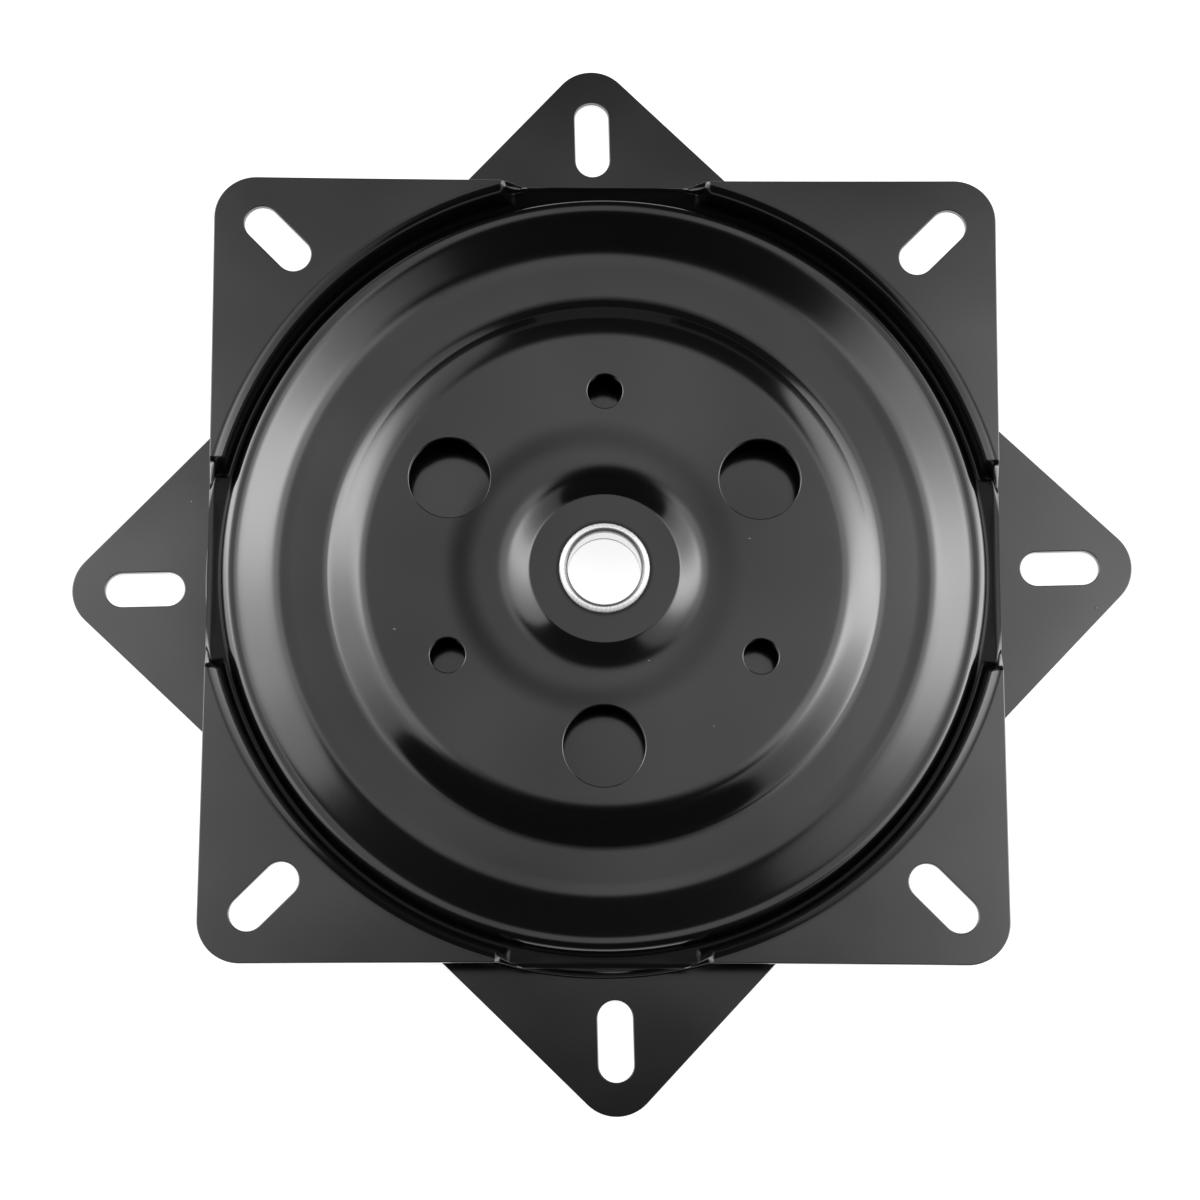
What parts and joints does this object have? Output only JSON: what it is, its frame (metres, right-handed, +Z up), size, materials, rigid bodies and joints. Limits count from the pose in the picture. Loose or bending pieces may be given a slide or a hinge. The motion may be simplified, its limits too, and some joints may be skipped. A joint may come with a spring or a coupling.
{
  "type": "seat swivel plate",
  "caption": "Flat seat swivel: square pressed steel plates with slotted corner tabs turn on a ball race about an open hollow rivet.",
  "frame": {"origin": "on the turning axis, level with the underside of the lower plate's corner tabs", "axes": "+Z up along the turning axis; +X and +Y through corners of the lower plate"},
  "size_m": [0.2458, 0.2458, 0.0228],
  "materials": {
    "black_coated_steel": "semi-gloss black coating",
    "zinc_plated_steel": "bright zinc plate",
    "bush_plastic": "natural nylon",
    "retainer_plastic": "greased nylon",
    "ball_steel": "ground and polished"
  },
  "bodies": {
    "lower": {"lower_plate": "black_coated_steel", "hollow_rivet": "zinc_plated_steel", "spacer_bush": "bush_plastic"},
    "upper": {"upper_plate": "black_coated_steel"},
    "cage": {"ball_retainer": "retainer_plastic", "ball_01": "ball_steel", "ball_02": "ball_steel", "ball_03": "ball_steel", "ball_04": "ball_steel", "ball_05": "ball_steel", "ball_06": "ball_steel", "ball_07": "ball_steel", "ball_08": "ball_steel", "ball_09": "ball_steel", "ball_10": "ball_steel", "ball_11": "ball_steel", "ball_12": "ball_steel", "ball_13": "ball_steel", "ball_14": "ball_steel", "ball_15": "ball_steel", "ball_16": "ball_steel", "ball_17": "ball_steel", "ball_18": "ball_steel", "ball_19": "ball_steel", "ball_20": "ball_steel", "ball_21": "ball_steel", "ball_22": "ball_steel", "ball_23": "ball_steel", "ball_24": "ball_steel", "ball_25": "ball_steel", "ball_26": "ball_steel", "ball_27": "ball_steel", "ball_28": "ball_steel", "ball_29": "ball_steel", "ball_30": "ball_steel"}
  },
  "joints": [
    {"name": "swivel", "type": "hinge", "parent": "lower", "child": "upper", "pos_m": [0, 0, 0.0114], "axis": [0, 0, 1], "continuous": true},
    {"name": "cage_turn", "type": "hinge", "parent": "lower", "child": "cage", "pos_m": [0, 0, 0.0114], "axis": [0, 0, 1], "continuous": true}
  ],
  "couplings": [
    {"joint": "cage_turn", "follows": "swivel", "ratio": 0.5}
  ]
}
